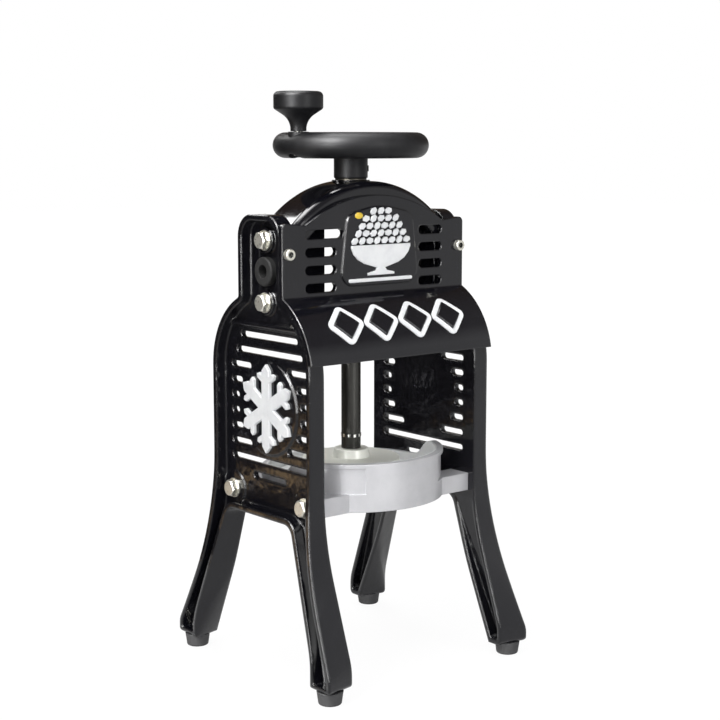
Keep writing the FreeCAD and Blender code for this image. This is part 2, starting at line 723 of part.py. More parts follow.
def build_knob():
    """Mushroom grip turned about its pin."""
    seat_x = -(wheel_r - rim_r)
    z = knob_seat_z + knob_clear
    top = z + knob_high
    bore = pin_r + running_clear
    head_seat = top - pin_top_gap - pin_head_high - knob_clear
    head_r = pin_head_r + 0.5
    dish_z = top - 0.8
    profile = [(bore, z, 0), (knob_neck_r, z, 0),
               (knob_neck_r, z + knob_neck_high, knob_under_r),
               (knob_r, top - knob_rim_high, 2.0),
               (knob_r, top, knob_edge_r),
               (head_r + 4.0, top, 0), (head_r + 3.2, dish_z, 0), (head_r, dish_z, 0),
               (head_r, head_seat, 0), (bore, head_seat, 0)]
    knob = front_face(profile).revolve(V(0, 0, 0), V(0, 0, 1), 360)
    knob.translate(V(seat_x, 0, 0))
    return knob


def build_knob_pin():
    seat_x = -(wheel_r - rim_r)
    top = knob_seat_z + knob_clear + knob_high - pin_top_gap
    foot = wheel_z - rim_r + nut_pocket_deep - knob_nut_high - 1.2
    pin = fuse([rod(pin_r, foot, top, seat_x, 0), rod(pin_head_r, top - pin_head_high, top, seat_x, 0)])
    return pin.cut(block((seat_x - 0.6, seat_x + 0.6), (-pin_head_r, pin_head_r), (top - 1.1, top + 1)))


def build_knob_nut():
    seat_x = -(wheel_r - rim_r)
    top = wheel_z - rim_r + nut_pocket_deep
    nut = hexagon(knob_nut_flats, knob_nut_high, V(seat_x, 0, top - knob_nut_high), V(0, 0, 1))
    return nut.cut(rod(pin_r, 0, far, seat_x, 0))


# ---- spindle and presser ----
def build_spindle():
    spindle = rod(spindle_r, spindle_foot_z, spindle_top_z)
    spindle = spindle.makeChamfer(0.8, [e for e in spindle.Edges if e.BoundBox.ZLength < 1e-6])
    keyway = block((-key_half - key_clear, key_half + key_clear), (spindle_r - key_deep, spindle_r + 1),
                   (keyway_z, spindle_top_z + 1))
    groove = rod(spindle_r + 1, clip_z - clip_half, clip_z + clip_half).cut(rod(spindle_r - clip_depth, 0, far))
    tapped = rod(presser_screw_r, 0, presser_z[0] + presser_screw_grip + 1)
    return spindle.cut(keyway.multiFuse([groove, tapped]))


def build_spindle_clip():
    clip = rod(spindle_r + clip_proud, clip_z - clip_half, clip_z + clip_half)
    clip = clip.cut(rod(spindle_r - clip_depth, 0, far))
    return clip.cut(block((-1.2, 1.2), (0, spindle_r + 1), (clip_z - 2, clip_z + 2)))


def build_presser():
    """Disc with a hub on top and pointed teeth underneath that hold the ice."""
    disc = rod(presser_r, *presser_z)
    disc = disc.makeFillet(1.2, [e for e in disc.Edges if e.BoundBox.ZLength < 1e-6])
    hub = Part.makeCone(presser_hub_r + 1.2, presser_hub_r, presser_hub_z - presser_z[1], V(0, 0, presser_z[1]))
    hub = hub.makeFillet(0.8, [e for e in hub.Edges if abs(e.BoundBox.ZMin - presser_hub_z) < 1e-6])
    teeth = []
    for radius, count in zip(tooth_ring_r, tooth_counts):
        tooth = Part.makeCone(tooth_r, 0.3, tooth_high, V(radius, 0, presser_z[0] + 0.2), V(0, 0, -1))
        teeth += ring_of(tooth, count)
    plate = fuse([disc, hub] + teeth)
    return plate.cut(rod(spindle_r, spindle_foot_z, presser_hub_z + 1).multiFuse(
        [rod(presser_screw_r, 0, spindle_foot_z + 1),
         Part.makeCone(presser_screw_head_r, presser_screw_r, spindle_foot_z - presser_z[0], V(0, 0, presser_z[0]))]))


def build_presser_screw():
    """Countersunk screw up into the end of the spindle."""
    seat = V(0, 0, presser_z[0])
    screw = fuse([Part.makeCone(presser_screw_head_r, presser_screw_r, spindle_foot_z - presser_z[0], seat),
                  rod(presser_screw_r, presser_z[0] + 1, presser_z[0] + presser_screw_grip)])
    return screw.cut(hexagon(3.0, 1.6, seat, V(0, 0, 1)))


# ---- blade table ----
def wall_top_tool():
    """Cutter that lowers the wall behind the fall, with an S-shaped run down each side."""
    mid_y = table_r * math.sin(math.radians((fall_start + fall_end) / 2))
    start_y = table_r * math.sin(math.radians(fall_start))
    end_y = table_r * math.sin(math.radians(fall_end))
    mid_z = (table_z[1] + table_low_z) / 2
    top = table_z[1] + 1
    curve = Part.BSplineCurve()
    curve.buildFromPoles([V(0, start_y, table_z[1]), V(0, (start_y + mid_y) / 2 + 1, table_z[1] + 0.3),
                          V(0, mid_y, mid_z), V(0, (mid_y + end_y) / 2 - 1, table_low_z),
                          V(0, end_y, table_low_z)], False, 3)
    lines = [Part.LineSegment(V(0, end_y, table_low_z), V(0, 2 * table_r, table_low_z)).toShape(),
             Part.LineSegment(V(0, 2 * table_r, table_low_z), V(0, 2 * table_r, top)).toShape(),
             Part.LineSegment(V(0, 2 * table_r, top), V(0, start_y, top)).toShape(),
             Part.LineSegment(V(0, start_y, top), V(0, start_y, table_z[1])).toShape()]
    tool = Part.Face(Part.Wire([curve.toShape()] + lines)).extrude(V(4 * table_r, 0, 0))
    tool.translate(V(-2 * table_r, 0, 0))
    return tool


def blade_place(shape):
    """From the blade's own axes, edge along X at the origin, to its slope under the floor."""
    shape.rotate(V(0, 0, 0), V(1, 0, 0), blade_angle)
    shape.translate(V(0, 0, floor_z[1] + blade_proud))
    return shape


def build_table():
    shell = rod(table_r, *table_z)
    side = rod(table_r + 1, lug_z[1], table_z[1] - table_lip).cut(rod(table_wall_r, 0, far))
    start = math.radians(-90 + sector_half)
    reach = 3 * table_r
    keep = top_face([(0, 0, 0), (-reach * math.cos(start), reach * math.sin(start), 0),
                     (reach * math.cos(start), reach * math.sin(start), 0)]).extrude(V(0, 0, far))
    shell = shell.cut(side.cut(keep))
    shell = shell.cut(rod(table_inner_r, floor_z[1], far)).cut(rod(table_inner_r, 0, floor_z[0]))
    shell = shell.cut(wall_top_tool())
    lug_x = frame_inner_x - lug_clear
    lugs = []
    for sx in (1, -1):
        for sy in (1, -1):
            lug = block((table_inner_r - lug_reach, lug_x), (lower_bolt_y - lug_half, lower_bolt_y + lug_half), lug_z)
            lugs += spread(lug, ((sx, sy),))
    hollow = rod(table_inner_r, 0, far)
    lugs = [lug.cut(hollow) for lug in lugs]
    bed = block((blade_x[0] - 3, blade_x[1] + 3), (-bed_wide, 0), (lug_z[0] + 0.4, floor_z[1]))
    table = fuse([shell] + lugs + [bed])
    bed_cut = blade_place(block((blade_x[0] - 4, blade_x[1] + 4), (-2 * bed_wide, 4), (-20, 0)))
    keep_floor = block((blade_x[0] - 4, blade_x[1] + 4), (-2 * bed_wide, mouth_wide), (0, floor_z[1] + 9))
    outside = rod(table_r + 9, 0, far).cut(rod(table_inner_r - 0.5, 0, far))
    table = table.cut(bed_cut.common(keep_floor).cut(outside))
    mouth = block(blade_x, (-1, mouth_wide), (0, far))
    cuts = [mouth]
    for x in blade_screw_x:
        cuts.append(blade_place(Part.makeCylinder(blade_screw_r, blade_screw_grip, V(x, blade_screw_y, 0))))
    for sx in (-1, 1):
        for sy in (-1, 1):
            x0 = min(sx * (frame_inner_x - bolt_grip), sx * frame_inner_x)
            cuts.append(cross_rod(bolt_r, x0, x0 + bolt_grip, sy * lower_bolt_y, lower_bolt_z))
    return table.cut(cuts[0].multiFuse(cuts[1:]))


def build_blade():
    corners = [V(blade_x[0], 0, 0), V(blade_x[0], -blade_wide, 0), V(blade_x[0], -blade_wide, -blade_thick),
               V(blade_x[0], -blade_bevel, -blade_thick)]
    blade = Part.Face(Part.makePolygon(corners + [corners[0]])).extrude(V(blade_x[1] - blade_x[0], 0, 0))
    for x in blade_screw_x:
        hole = top_face([(x - blade_screw_r - 0.2, blade_screw_y - 4, 2), (x + blade_screw_r + 0.2, blade_screw_y - 4, 2),
                         (x + blade_screw_r + 0.2, blade_screw_y + 3, 2), (x - blade_screw_r - 0.2, blade_screw_y + 3, 2)],
                        -blade_thick - 1).extrude(V(0, 0, blade_thick + 2))
        blade = blade.cut(hole)
    return blade_place(blade)


def build_blade_clamp():
    clamp = block(clamp_x, clamp_y, (-blade_thick - clamp_thick, -blade_thick))
    clamp = clamp.makeChamfer(clamp_chamfer, [e for e in clamp.Edges if e.BoundBox.ZLength > 1 and e.BoundBox.XLength < 1])
    for x in blade_screw_x:
        clamp = clamp.cut(rod(blade_screw_r + 0.2, -20, 1, x, blade_screw_y))
    return blade_place(clamp)


def build_blade_screws():
    base = -blade_thick - clamp_thick
    screws = []
    for x in blade_screw_x:
        screw = fuse([rod(blade_screw_r, base, blade_screw_grip, x, blade_screw_y),
                      rod(blade_screw_head_r, base - blade_screw_head_high, base, x, blade_screw_y)])
        drive = hexagon(2.5, 1.3, V(x, blade_screw_y, base - blade_screw_head_high), V(0, 0, 1))
        screws.append(blade_place(screw.cut(drive)))
    return Part.makeCompound(screws)


# ---- feet ----
def build_feet():
    foot = Part.makeCone(foot_bottom_r, foot_top_r, sole_z, V(foot_x, foot_y, 0))
    foot = foot.makeFillet(foot_edge_r, [e for e in foot.Edges if e.BoundBox.ZMax < 1e-6])
    foot = foot.cut(rod(foot_bore_r, -1, foot_bore_deep, foot_x, foot_y))
    foot = foot.cut(rod(foot_screw_r, 0, sole_z + 1, foot_x, foot_y))
    return Part.makeCompound(spread(foot, corners_all))


def build_foot_screws():
    head_z = foot_bore_deep - foot_screw_head_high
    screw = fuse([rod(foot_screw_r, foot_bore_deep - 1, foot_screw_top_z, foot_x, foot_y),
                  rod(foot_screw_head_r, head_z, foot_bore_deep, foot_x, foot_y)])
    slotted = block((foot_x - foot_screw_head_r, foot_x + foot_screw_head_r), (foot_y - 0.5, foot_y + 0.5),
                    (head_z - 1, head_z + 0.9))
    return Part.makeCompound(spread(screw.cut(slotted), corners_all))


# ---- write one file per sub-part ----
os.makedirs("parts", exist_ok=True)
right_frame = build_frame()
side_bolts, side_washers = build_side_bolts()
nodes = {
    "right_frame": right_frame,
    "left_frame": mirror_x(right_frame),
    "side_grommets": build_grommets(),
    "upper_side_bolts": Part.makeCompound(side_bolts["upper"]),
    "lower_side_bolts": Part.makeCompound(side_bolts["lower"]),
    "upper_washers": Part.makeCompound(side_washers["upper"]),
    "lower_washers": Part.makeCompound(side_washers["lower"]),
    "front_cover": build_cover(),
    "cover_screws": build_cover_screws(),
    "bridge": build_bridge(),
    "feed_nut": build_feed_nut(),
    "nut_screws": build_nut_screws(),
    "drive_sleeve": build_sleeve(),
    "retaining_ring": build_retaining_ring(),
    "drive_key": build_key(),
    "thrust_washer": build_thrust_washer(),
    "handwheel": build_handwheel(),
    "set_screw": build_set_screw(),
    "knob": build_knob(),
    "knob_pin": build_knob_pin(),
    "knob_nut": build_knob_nut(),
    "spindle": build_spindle(),
    "spindle_clip": build_spindle_clip(),
    "presser_plate": build_presser(),
    "presser_screw": build_presser_screw(),
    "blade_table": build_table(),
    "blade": build_blade(),
    "blade_clamp": build_blade_clamp(),
    "blade_screws": build_blade_screws(),
    "rubber_feet": build_feet(),
    "foot_screws": build_foot_screws(),
}
for name, shape in nodes.items():
    shape.exportStep("parts/" + name + ".step")
    print(name, "valid", shape.isValid(), "solids", len(shape.Solids), "volume", round(shape.Volume, 1))
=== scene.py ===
import math

import bmesh
import bpy
from mathutils import Matrix, Vector


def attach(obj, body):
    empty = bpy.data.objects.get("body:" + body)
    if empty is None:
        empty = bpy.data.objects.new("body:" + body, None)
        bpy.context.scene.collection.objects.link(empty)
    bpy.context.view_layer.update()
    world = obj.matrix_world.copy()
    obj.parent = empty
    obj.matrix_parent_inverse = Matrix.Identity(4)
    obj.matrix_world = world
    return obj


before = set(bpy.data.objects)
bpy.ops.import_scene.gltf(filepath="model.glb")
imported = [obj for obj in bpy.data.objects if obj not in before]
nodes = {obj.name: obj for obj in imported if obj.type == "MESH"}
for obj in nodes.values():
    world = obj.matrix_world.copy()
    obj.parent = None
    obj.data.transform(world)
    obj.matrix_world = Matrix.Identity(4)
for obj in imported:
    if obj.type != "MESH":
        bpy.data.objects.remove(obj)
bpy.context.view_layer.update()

scene = bpy.context.scene
white = (1, 1, 1)
mm = 0.001              # a millimetre, the unit of the outlines below


# helpers for the materials
def newMaterial(name):
    mat = bpy.data.materials.new(name)
    mat.use_nodes = True
    return mat, mat.node_tree, mat.node_tree.nodes["Principled BSDF"]


def addNode(tree, kind, values=None, **settings):
    node = tree.nodes.new(kind)
    for key, value in settings.items():
        setattr(node, key, value)
    for key, value in (values or {}).items():
        node.inputs[key].default_value = value
    return node


def objectCoords(tree, scale=(1, 1, 1)):
    coords = addNode(tree, "ShaderNodeTexCoord")
    mapping = addNode(tree, "ShaderNodeMapping", {"Scale": scale})
    tree.links.new(coords.outputs["Object"], mapping.inputs["Vector"])
    return mapping.outputs["Vector"]


def noise(tree, vector, scale, detail, roughness):
    node = addNode(tree, "ShaderNodeTexNoise", {"Scale": scale, "Detail": detail, "Roughness": roughness})
    tree.links.new(vector, node.inputs["Vector"])
    return node.outputs["Fac"]


def remap(tree, value, low, high, fromLow=0.3, fromHigh=0.7):
    # the two defaults are the range that a noise mostly stays in
    node = addNode(tree, "ShaderNodeMapRange", {"From Min": fromLow, "From Max": fromHigh,
                                                "To Min": low, "To Max": high})
    tree.links.new(value, node.inputs["Value"])
    return node.outputs["Result"]


def combine(tree, operation, first, second):
    node = addNode(tree, "ShaderNodeMath", operation=operation)
    tree.links.new(first, node.inputs[0])
    tree.links.new(second, node.inputs[1])
    return node.outputs[0]


def distance(tree, vector):
    node = addNode(tree, "ShaderNodeVectorMath", operation="LENGTH")
    tree.links.new(vector, node.inputs[0])
    return node.outputs["Value"]


def mixColors(tree, factor, first, second):
    # each color is three numbers or the output of another node
    node = addNode(tree, "ShaderNodeMix", data_type="RGBA")
    tree.links.new(factor, node.inputs["Factor"])
    for key, color in (("A", first), ("B", second)):
        if isinstance(color, tuple):
            node.inputs[key].default_value = (*color, 1)
        else:
            tree.links.new(color, node.inputs[key])
    return node.outputs["Result"]


def wornColor(tree, wear, look):
    return mixColors(tree, remap(tree, wear, 0, 1, *look["wornFrom"]), look["color"], look["worn"])


def surfaceDetail(tree, bsdf, height, look):
    # fine relief, and light that turns round the edges where the look gives them a radius
    node = addNode(tree, "ShaderNodeBump", {"Strength": look["strength"], "Distance": look["depth"]})
    tree.links.new(height, node.inputs["Height"])
    if look["edge"]:
        soft = addNode(tree, "ShaderNodeBevel", {"Radius": look["edge"]}, samples=6)
        tree.links.new(soft.outputs["Normal"], node.inputs["Normal"])
    tree.links.new(node.outputs["Normal"], bsdf.inputs["Normal"])


def paint(material, *names):
    for name in names:
        data = nodes[name].data
        data.materials.clear()
        data.materials.append(material)


# enamel, plastic, rubber and paint: wear and grain are each a noise's scale, detail and roughness
def coating(name, look):
    mat, tree, bsdf = newMaterial(name)
    vector = objectCoords(tree)
    wear = noise(tree, vector, *look["wear"])
    tree.links.new(wornColor(tree, wear, look), bsdf.inputs["Base Color"])
    tree.links.new(remap(tree, wear, *look["rough"]), bsdf.inputs["Roughness"])
    bsdf.inputs["Specular IOR Level"].default_value = look["gloss"]
    surfaceDetail(tree, bsdf, noise(tree, vector, *look["grain"]), look)
    return mat


# gloss black enamel of the castings, with a deeper orange peel on the frames than on the cover and bridge
enamelLook = {"color": (0.0047, 0.0046, 0.0070), "worn": (0.0080, 0.0078, 0.0102), "wornFrom": (0.45, 0.8),
              "wear": (28, 5, 0.6), "rough": (0.06, 0.13), "gloss": 0.36, "strength": 0.30}
coverPeel = {"grain": (150, 2, 0.4), "depth": 0.00012, "edge": 0.0016}
framePeel = {"grain": (105, 2, 0.4), "depth": 0.00078, "edge": 0.0023}

enamel = coating("coverEnamel", {**enamelLook, **coverPeel})
paint(enamel, "bridge", "front_cover")
paint(coating("frameEnamel", {**enamelLook, **framePeel}), "left_frame", "right_frame")

# fine matte moulding of the wheel and its knob
wheelLook = {"color": (0.0078, 0.0078, 0.0090), "worn": (0.0155, 0.0155, 0.0170), "wornFrom": (0.45, 0.75),
             "wear": (45, 6, 0.65), "rough": (0.40, 0.52), "gloss": 0.14,
             "grain": (2400, 2, 0.5), "depth": 0.00006, "strength": 0.5, "edge": 0.0005}

paint(coating("matteWheelPlastic", wheelLook), "handwheel", "knob")

# rubber of the feet and, darker and duller, of the grommets
footLook = {"color": (0.024, 0.024, 0.026), "worn": (0.050, 0.050, 0.053), "wornFrom": (0.4, 0.8),
            "wear": (90, 6, 0.7), "rough": (0.62, 0.82), "gloss": 0.5,
            "grain": (1800, 2, 0.5), "depth": 0.00005, "strength": 0.5, "edge": 0.0005}
grommetLook = {**footLook, "color": (0.007, 0.007, 0.007), "worn": (0.014, 0.014, 0.014), "gloss": 0.15}

paint(coating("footRubber", footLook), "rubber_feet")
paint(coating("grommetRubber", grommetLook), "side_grommets")
print("enamel, plastic and rubber: done")


# metals: a broad noise wears the color, and a finer one the roughness and the surface
def metalFinish(name, look):
    mat, tree, bsdf = newMaterial(name)
    fine = noise(tree, objectCoords(tree, scale=look["stretch"]), *look["grain"])
    color = wornColor(tree, noise(tree, objectCoords(tree), *look["wear"]), look)
    if "socket" in look:
        # painted shade: the screw sockets get a darker color
        color = mixColors(tree, socketShadeMask(tree, look["socket"]), color, look["socket"]["color"])
    if "litInside" in look:
        # painted light: the table's inside round the axis gets a brighter color, standing in for light that
        # the hood and bridge keep out
        color = mixColors(tree, outsideMask(tree, look["litInside"]), look["litInside"]["color"], color)
    tree.links.new(color, bsdf.inputs["Base Color"])
    tree.links.new(remap(tree, fine, *look["rough"]), bsdf.inputs["Roughness"])
    bsdf.inputs["Metallic"].default_value = look["metal"]
    surfaceDetail(tree, bsdf, fine, look)
    return mat


def socketShadeMask(tree, socket):
    # painted shade: 1 in the dark socket of a screw on either side of the middle, 0 round it
    apart = addNode(tree, "ShaderNodeVectorMath", operation="ABSOLUTE")
    tree.links.new(objectCoords(tree), apart.inputs[0])
    centred = addNode(tree, "ShaderNodeMapping", {"Location": [-c for c in socket["place"]]})
    tree.links.new(apart.outputs[0], centred.inputs["Vector"])
    return remap(tree, distance(tree, centred.outputs[0]), 1, 0, *socket["radii"])


def outsideMask(tree, litInside):
    # 0 round the spindle's axis, 1 further out
    return remap(tree, distance(tree, objectCoords(tree, scale=(1, 1, 0))), 0, 1, *litInside["radii"])


metalLook = {"wear": (60, 5, 0.6), "wornFrom": (0.4, 0.8), "grain": (700, 4, 0.55),
             "stretch": (1, 1, 1), "depth": 0.00004, "strength": 0.4, "edge": 0.0, "metal": 1.0}
platedLook = {**metalLook, "color": (0.62, 0.61, 0.55), "worn": (0.44, 0.42, 0.36),
              "rough": (0.24, 0.38), "depth": 0.00008, "edge": 0.0004, "metal": 0.75}
coverScrewLook = {**platedLook, "color": (0.60, 0.59, 0.53), "rough": (0.24, 0.36), "edge": 0.0003,
                  "metal": 0.65,
                  # painted shade: this color darkens the screw's hex socket, where shade falls
                  "socket": {"place": (0.0710, 0.0288, 0.2726), "radii": (0.001785, 0.00231),
                             "color": (0.03, 0.03, 0.03)}}
darkLook = {**metalLook, "color": (0.050, 0.046, 0.038), "worn": (0.035, 0.032, 0.028),
            "rough": (0.34, 0.46)}
tableLook = {**metalLook, "color": (0.475, 0.475, 0.492), "worn": (0.405, 0.405, 0.422),
             "rough": (0.36, 0.50), "grain": (1100, 4, 0.55), "depth": 0.00010, "edge": 0.0006,
             "metal": 0.30,
             "litInside": {"radii": (0.0570, 0.0574), "color": (0.72, 0.73, 0.73)}}     # painted light: its inside, within 57 mm of the axis, is brighter where the hood and bridge shade it
spindleLook = {**metalLook, "color": (0.036, 0.035, 0.031), "worn": (0.026, 0.025, 0.022),
               "rough": (0.26, 0.38), "grain": (420, 4, 0.55), "stretch": (1, 1, 0.05),
               "depth": 0.00001, "metal": 0.5}
bladeLook = {**metalLook, "color": (0.66, 0.67, 0.68), "worn": (0.52, 0.53, 0.54),
             "rough": (0.16, 0.28), "grain": (120, 4, 0.55), "stretch": (1, 22, 1)}

paint(metalFinish("platedSteel", platedLook),
      "upper_side_bolts", "lower_side_bolts", "upper_washers", "lower_washers", "nut_screws",
      "retaining_ring", "knob_pin", "knob_nut", "presser_screw", "blade_clamp", "blade_screws",
      "foot_screws")
paint(metalFinish("coverScrewSteel", coverScrewLook), "cover_screws")
paint(metalFinish("darkSteel", darkLook), "set_screw", "thrust_washer")
paint(metalFinish("castAluminium", tableLook), "blade_table")
paint(metalFinish("spindleSteel", spindleLook), "spindle", "drive_sleeve", "drive_key")
paint(metalFinish("bladeSteel", bladeLook), "blade")


# turned metal: fine rings round the spindle's axis
def turnedMetal(name, look):
    mat, tree, bsdf = newMaterial(name)
    vector = objectCoords(tree)
    rings = addNode(tree, "ShaderNodeTexWave", {"Scale": look["rings"], "Distortion": look["waver"],
                                                "Detail": 2.0, "Detail Scale": 3.0},
                    wave_type="RINGS", rings_direction="Z")
    tree.links.new(vector, rings.inputs["Vector"])
    wear = noise(tree, vector, *look["wear"])
    tree.links.new(wornColor(tree, wear, look), bsdf.inputs["Base Color"])
    tree.links.new(remap(tree, wear, *look["rough"]), bsdf.inputs["Roughness"])
    bsdf.inputs["Metallic"].default_value = look["metal"]
    surfaceDetail(tree, bsdf, rings.outputs["Fac"], look)
    return mat


presserLook = {"color": (0.90, 0.91, 0.84), "worn": (0.82, 0.83, 0.77), "wornFrom": (0.4, 0.8),
               "wear": (50, 5, 0.6), "rough": (0.31, 0.43), "metal": 0.10,
               "rings": 240, "waver": 0.4, "depth": 0.00004, "strength": 0.5, "edge": 0.0005}
nutLook = {**presserLook, "color": (0.72, 0.50, 0.22), "worn": (0.46, 0.30, 0.12), "rough": (0.25, 0.37),
           "metal": 1.0, "rings": 260, "depth": 0.00005}

paint(turnedMetal("turnedPresser", presserLook), "presser_plate")
paint(turnedMetal("turnedBrass", nutLook), "feed_nut")

# bright teeth round the clip, with dark gaps between them: painted shade in the notches
clipLook = {"bright": (0.78, 0.77, 0.73), "dark": (0.05, 0.05, 0.05), "notches": 11, "gapFrom": (0.40, 0.48),
            "grain": (500, 4, 0.5), "rough": (0.22, 0.36), "metal": 1.0,
            "depth": 0.0002, "strength": 0.6, "edge": 0.0}


def notchedClip(look=clipLook):
    mat, tree, bsdf = newMaterial("notchedClip")
    turn = addNode(tree, "ShaderNodeTexGradient", gradient_type="RADIAL")
    tree.links.new(objectCoords(tree), turn.inputs["Vector"])
    times = addNode(tree, "ShaderNodeMath", {1: look["notches"]}, operation="MULTIPLY")
    tree.links.new(turn.outputs["Fac"], times.inputs[0])
    share = addNode(tree, "ShaderNodeMath", operation="FRACT")
    tree.links.new(times.outputs[0], share.inputs[0])
    # painted shade: the gaps between the teeth get the dark color
    gap = remap(tree, share.outputs[0], 0, 1, *look["gapFrom"])
    tree.links.new(mixColors(tree, gap, look["bright"], look["dark"]), bsdf.inputs["Base Color"])
    grain = noise(tree, objectCoords(tree), *look["grain"])
    tree.links.new(remap(tree, grain, *look["rough"]), bsdf.inputs["Roughness"])
    bsdf.inputs["Metallic"].default_value = look["metal"]
    surfaceDetail(tree, bsdf, gap, look)
    return mat


paint(notchedClip(), "spindle_clip")
print("metals: done")

# paint of the relief on the castings
whiteLook = {"color": (0.86, 0.87, 0.88), "worn": (0.76, 0.77, 0.79), "wornFrom": (0.4, 0.75),
             "wear": (120, 5, 0.6), "rough": (0.30, 0.42), "gloss": 0.25,
             "grain": (420, 3, 0.5), "depth": 0.00012, "strength": 0.4, "edge": 0.0004}
yellowLook = {**whiteLook, "color": (0.85, 0.60, 0.06), "worn": (0.74, 0.50, 0.04)}

whitePaint = coating("whitePaint", whiteLook)
yellowPaint = coating("yellowPaint", yellowLook)


# helpers for the relief and the stage
def meshPiece(bm, name, material):
    mesh = bpy.data.meshes.new(name)
    bm.to_mesh(mesh)
    bm.free()
    mesh.materials.append(material)
    piece = bpy.data.objects.new(name, mesh)
    scene.collection.objects.link(piece)
    return piece


def reliefPiece(bm, name, material, smooth=False):
    bmesh.ops.recalc_face_normals(bm, faces=bm.faces)
    for face in bm.faces:
        face.smooth = smooth
    piece = meshPiece(bm, name, material)
    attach(piece, "stand")


def liftPlate(bm, faces, height, roundness):
    # flat faces pushed up into a plate whose top edge is rounded
    lifted = bmesh.ops.extrude_face_region(bm, geom=faces)["geom"]
    corners = [v for v in lifted if isinstance(v, bmesh.types.BMVert)]
    bmesh.ops.translate(bm, verts=corners, vec=(0, 0, height))
    top = {f for f in lifted if isinstance(f, bmesh.types.BMFace)}
    rim = [e for e in bm.edges if sum(f in top for f in e.link_faces) == 1]
    bmesh.ops.bevel(bm, geom=rim, offset=roundness, segments=3, profile=0.5, affect="EDGES", material=-1)


def mirroredFace(bm, half):
    # a flat face from one side of its outline, which starts and ends on the middle line
    face = bm.faces.new([bm.verts.new((x * mm, y * mm, 0)) for x, y in half])
    bmesh.ops.mirror(bm, geom=[face, *face.edges, *face.verts], merge_dist=1e-6, axis="X")


def mergedFace(bm):
    bmesh.ops.remove_doubles(bm, verts=bm.verts, dist=1e-5)
    return bmesh.ops.dissolve_faces(bm, faces=bm.faces[:])["region"]


# a plain snow crystal on each side plate
crystalLook = {"plateX": 0.0683, "centreZ": 0.1727, "sink": 0.0003, "height": 0.0022, "roundness": 0.0007,
               "arms": 6,
               "halfArm": [(0, 0), (4.2, 7.27), (4.2, 17.0), (8.7, 19.6), (9.3, 22.2), (6.7, 23.1),
                           (4.1, 21.6), (3.9, 24.8), (0, 28.8)]}        # one side of an upright arm


def snowCrystal(name, side, look=crystalLook):
    bm = bmesh.new()
    mirroredFace(bm, look["halfArm"])
    arm = bm.verts[:] + bm.edges[:] + bm.faces[:]
    copies = look["arms"] - 1
    bmesh.ops.spin(bm, geom=arm, cent=(0, 0, 0), axis=(0, 0, 1), steps=copies,
                   angle=math.tau * copies / look["arms"], use_duplicate=True)
    liftPlate(bm, mergedFace(bm), look["height"] + look["sink"], look["roundness"])
    turn = Matrix(((0, 0, side), (side, 0, 0), (0, 1, 0)))     # the arm stands up, the plate faces out
    bmesh.ops.transform(bm, matrix=turn.to_4x4(), verts=bm.verts)
    place = (side * (look["plateX"] - look["sink"]), 0, look["centreZ"])
    bmesh.ops.translate(bm, verts=bm.verts, vec=place)
    reliefPiece(bm, name, whitePaint)


snowCrystal("leftSnowCrystal", -1)
snowCrystal("rightSnowCrystal", 1)
print("snow crystals: done")

# the plaque: a bar, a footed dish heaped with shaved ice above it, and a drop of syrup beside the heap
plaqueLook = {"faceY": -0.0275, "centreX": 0.0024, "sink": 0.0002}
barLook = {"half": 0.0265, "lowZ": 0.2525, "highZ": 0.2548, "endShare": 0.45, "height": 0.0011,
           "roundness": 0.0004}
dishLook = {"footZ": 0.2566, "height": 0.0013, "roundness": 0.0006,
            "halfDish": [(0, 0), (11.0, 0), (11.0, 1.5), (4.6, 2.9), (3.4, 4.6), (8.0, 5.9), (14.0, 7.5),
                         (19.2, 10.2), (22.8, 13.8), (24.6, 17.6), (24.6, 19.4), (0, 19.4)]}    # right half
heapLook = {"baseZ": 0.2788, "rows": (8, 7, 6, 5, 3), "rowStep": 0.0047, "flakeStep": 0.0062,
            "flake": (0.00300, 0.00215), "height": 0.0010, "roundness": 0.0004,
            "turn": 0.45, "sway": 0.35, "swayAlong": 2.4, "swayUp": 1.7}
dropLook = {"x": -0.0180, "z": 0.2950, "size": (0.0034, 0.0021, 0.0014)}


def toPlaque(bm, x, z, look=plaqueLook):
    # local x to the right, local y up, local z out of the plaque
    upright = Matrix(((1, 0, 0), (0, 0, -1), (0, 1, 0)))
    bmesh.ops.transform(bm, matrix=upright.to_4x4(), verts=bm.verts)
    bmesh.ops.translate(bm, verts=bm.verts, vec=(look["centreX"] + x, look["faceY"] + look["sink"], z))


def plaqueBar(look=barLook):
    low, high = look["lowZ"], look["highZ"]
    bm = bmesh.new()
    bmesh.ops.create_grid(bm, x_segments=1, y_segments=1, size=0.5)
    bmesh.ops.scale(bm, vec=(2 * look["half"], high - low, 1), verts=bm.verts)
    bmesh.ops.bevel(bm, geom=bm.verts[:], offset=(high - low) * look["endShare"], segments=3, profile=0.5,
                    affect="VERTICES", material=-1)
    liftPlate(bm, bm.faces[:], look["height"], look["roundness"])
    toPlaque(bm, 0, (low + high) / 2)
    reliefPiece(bm, "plaqueBar", whitePaint)


def plaqueDish(look=dishLook):
    bm = bmesh.new()
    mirroredFace(bm, look["halfDish"])
    liftPlate(bm, mergedFace(bm), look["height"] + plaqueLook["sink"], look["roundness"])
    toPlaque(bm, 0, look["footZ"])
    reliefPiece(bm, "plaqueDish", whitePaint)


